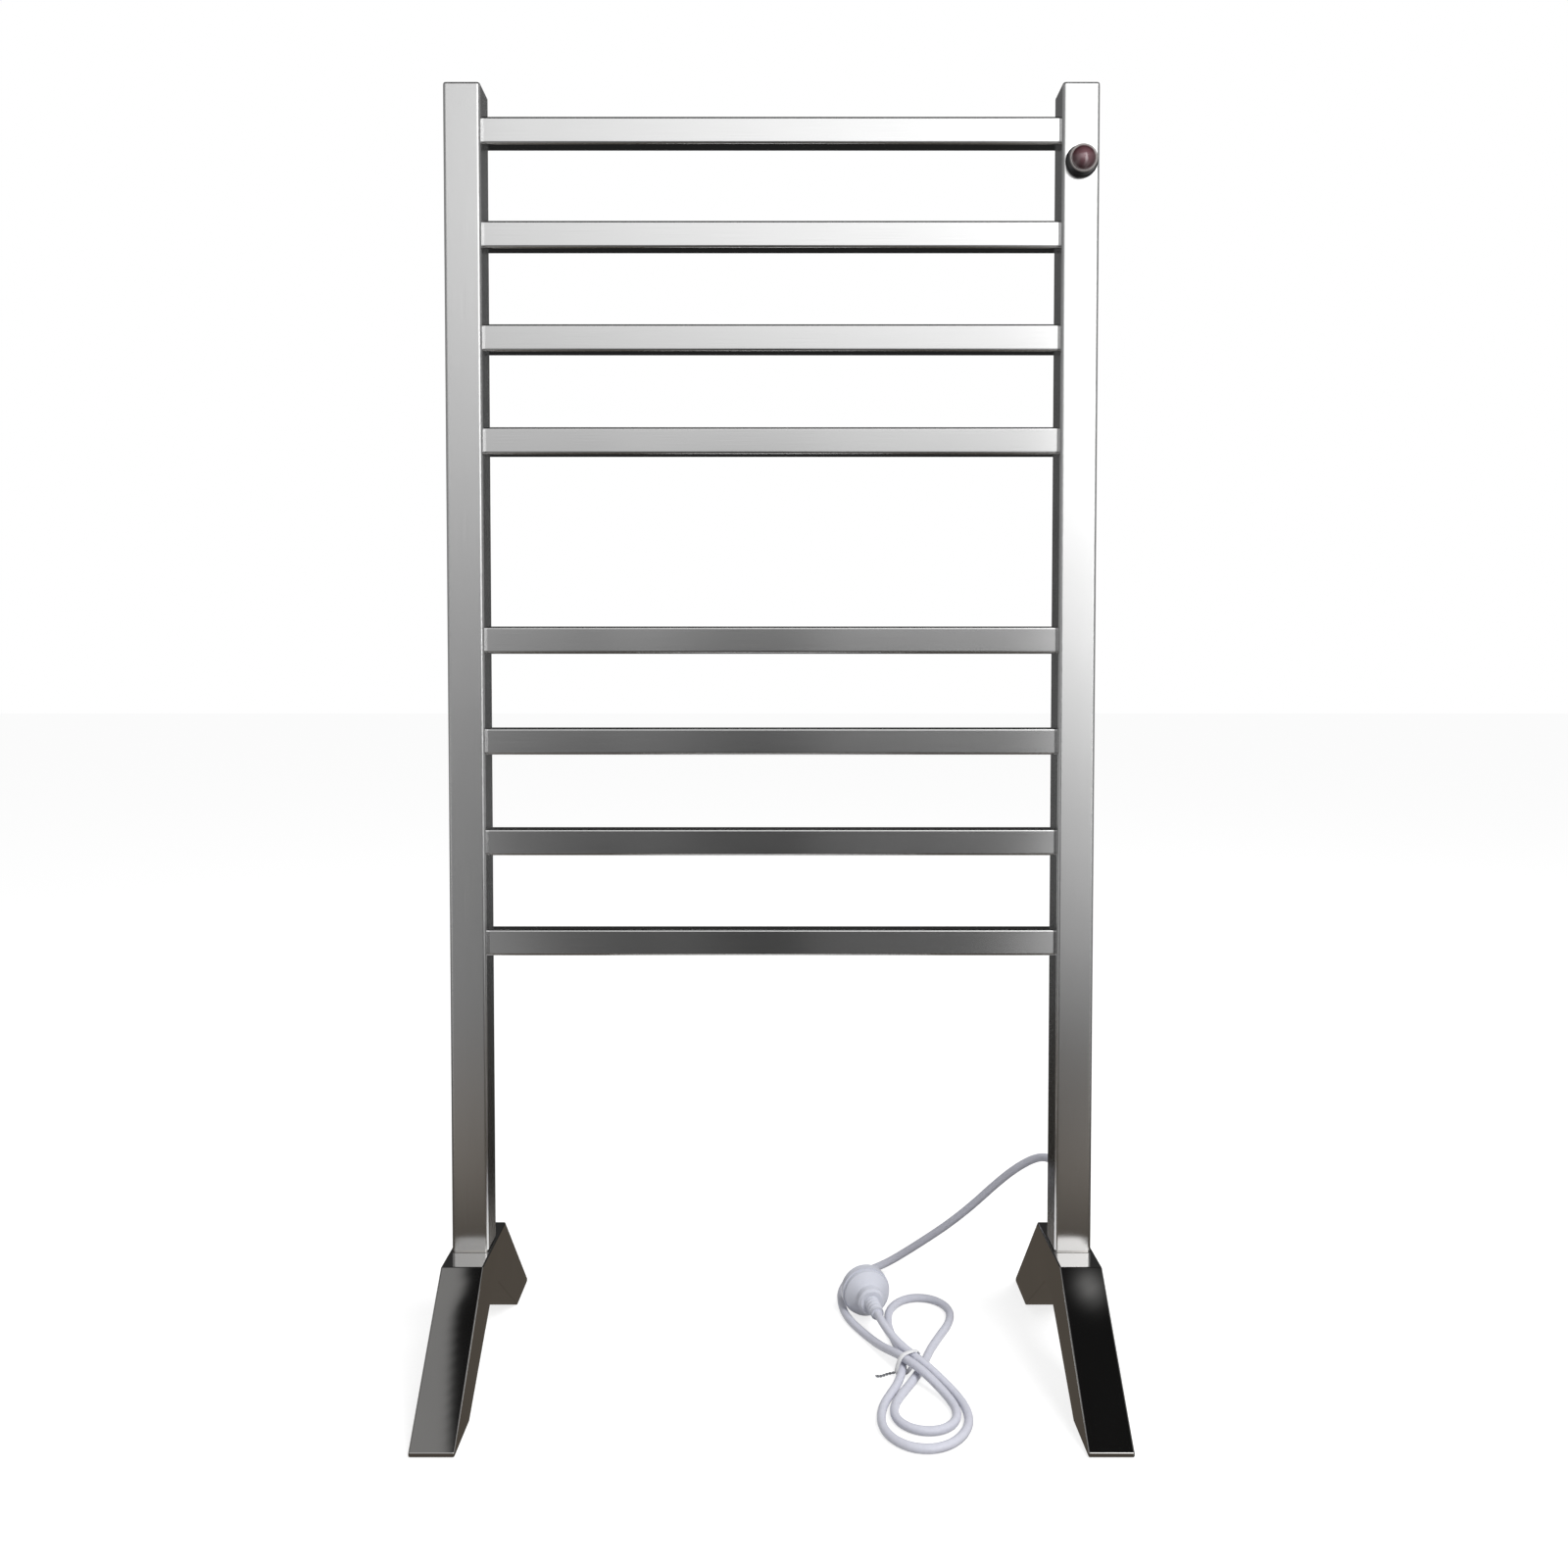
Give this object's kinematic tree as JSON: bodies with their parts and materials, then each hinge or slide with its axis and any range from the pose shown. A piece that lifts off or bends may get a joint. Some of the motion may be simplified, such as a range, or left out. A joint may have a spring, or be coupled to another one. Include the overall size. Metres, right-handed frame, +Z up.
{
  "type": "towel warmer rack",
  "caption": "Free-standing electric towel warmer: two square uprights joined by flat-sided crossbars, on polished inverted-V feet, with a lit push switch and a mains cord tied in a hank.",
  "frame": {"origin": "on the floor, midway between the uprights and between the toes", "axes": "+Z up, +X along the crossbars, front faces -Y"},
  "size_m": [0.531, 0.2858, 1.048],
  "materials": {
    "stainless": "satin polished stainless steel",
    "polished_foot": "mirror polished",
    "pad_rubber": "matt",
    "zinc_steel": "zinc plated",
    "switch_black": "satin moulded",
    "switch_red": "translucent moulded",
    "switch_white": "moulded",
    "terminal_brass": "plated",
    "lamp_glass": "clear",
    "cable_sheath": "silicone sheath",
    "cutout_case": "plain",
    "lead_brown": "insulation",
    "lead_blue": "insulation",
    "lead_green": "insulation",
    "cord_pvc": "satin PVC",
    "tie_plastic": "coated wire",
    "plug_pvc": "satin PVC"
  },
  "bodies": {
    "frame": {"left_upright": "stainless", "right_upright": "stainless", "left_top_cap": "stainless", "right_top_cap": "stainless", "left_foot": "polished_foot", "right_foot": "polished_foot", "left_foot_pads": "pad_rubber", "right_foot_pads": "pad_rubber", "left_foot_bolt": "zinc_steel", "right_foot_bolt": "zinc_steel", "foot_washers": "zinc_steel", "left_nut_plate": "zinc_steel", "right_nut_plate": "zinc_steel", "switch_housing": "switch_black", "switch_gasket": "pad_rubber", "switch_nut": "switch_black", "switch_spring": "zinc_steel", "switch_base": "switch_black", "switch_terminals": "terminal_brass", "switch_lamp": "lamp_glass", "heating_cable": "cable_sheath", "heater_splices": "cable_sheath", "thermal_cutout": "cutout_case", "live_lead": "lead_brown", "switched_lead": "lead_brown", "cutout_lead": "lead_brown", "neutral_lead": "lead_blue", "earth_lead": "lead_green", "terminal_block": "switch_white", "earth_stud": "zinc_steel", "earth_nut": "zinc_steel", "cord_gland": "cord_pvc", "cord_tail": "cord_pvc", "cord_lead": "cord_pvc", "cord_hank": "cord_pvc", "twist_tie": "tie_plastic", "plug_body": "plug_pvc", "plug_pins": "terminal_brass", "crossbar_1": "stainless", "crossbar_2": "stainless", "crossbar_3": "stainless", "crossbar_4": "stainless", "crossbar_5": "stainless", "crossbar_6": "stainless", "crossbar_7": "stainless", "crossbar_8": "stainless"},
    "button": {"switch_button": "switch_red", "switch_plunger": "switch_white"}
  },
  "joints": [
    {"name": "switch_press", "type": "slide", "parent": "frame", "child": "button", "axis": [0, 1, 0], "range_m": [0, 0.0025], "stiffness_N_per_m": 800, "deforming": ["switch_spring"]}
  ]
}
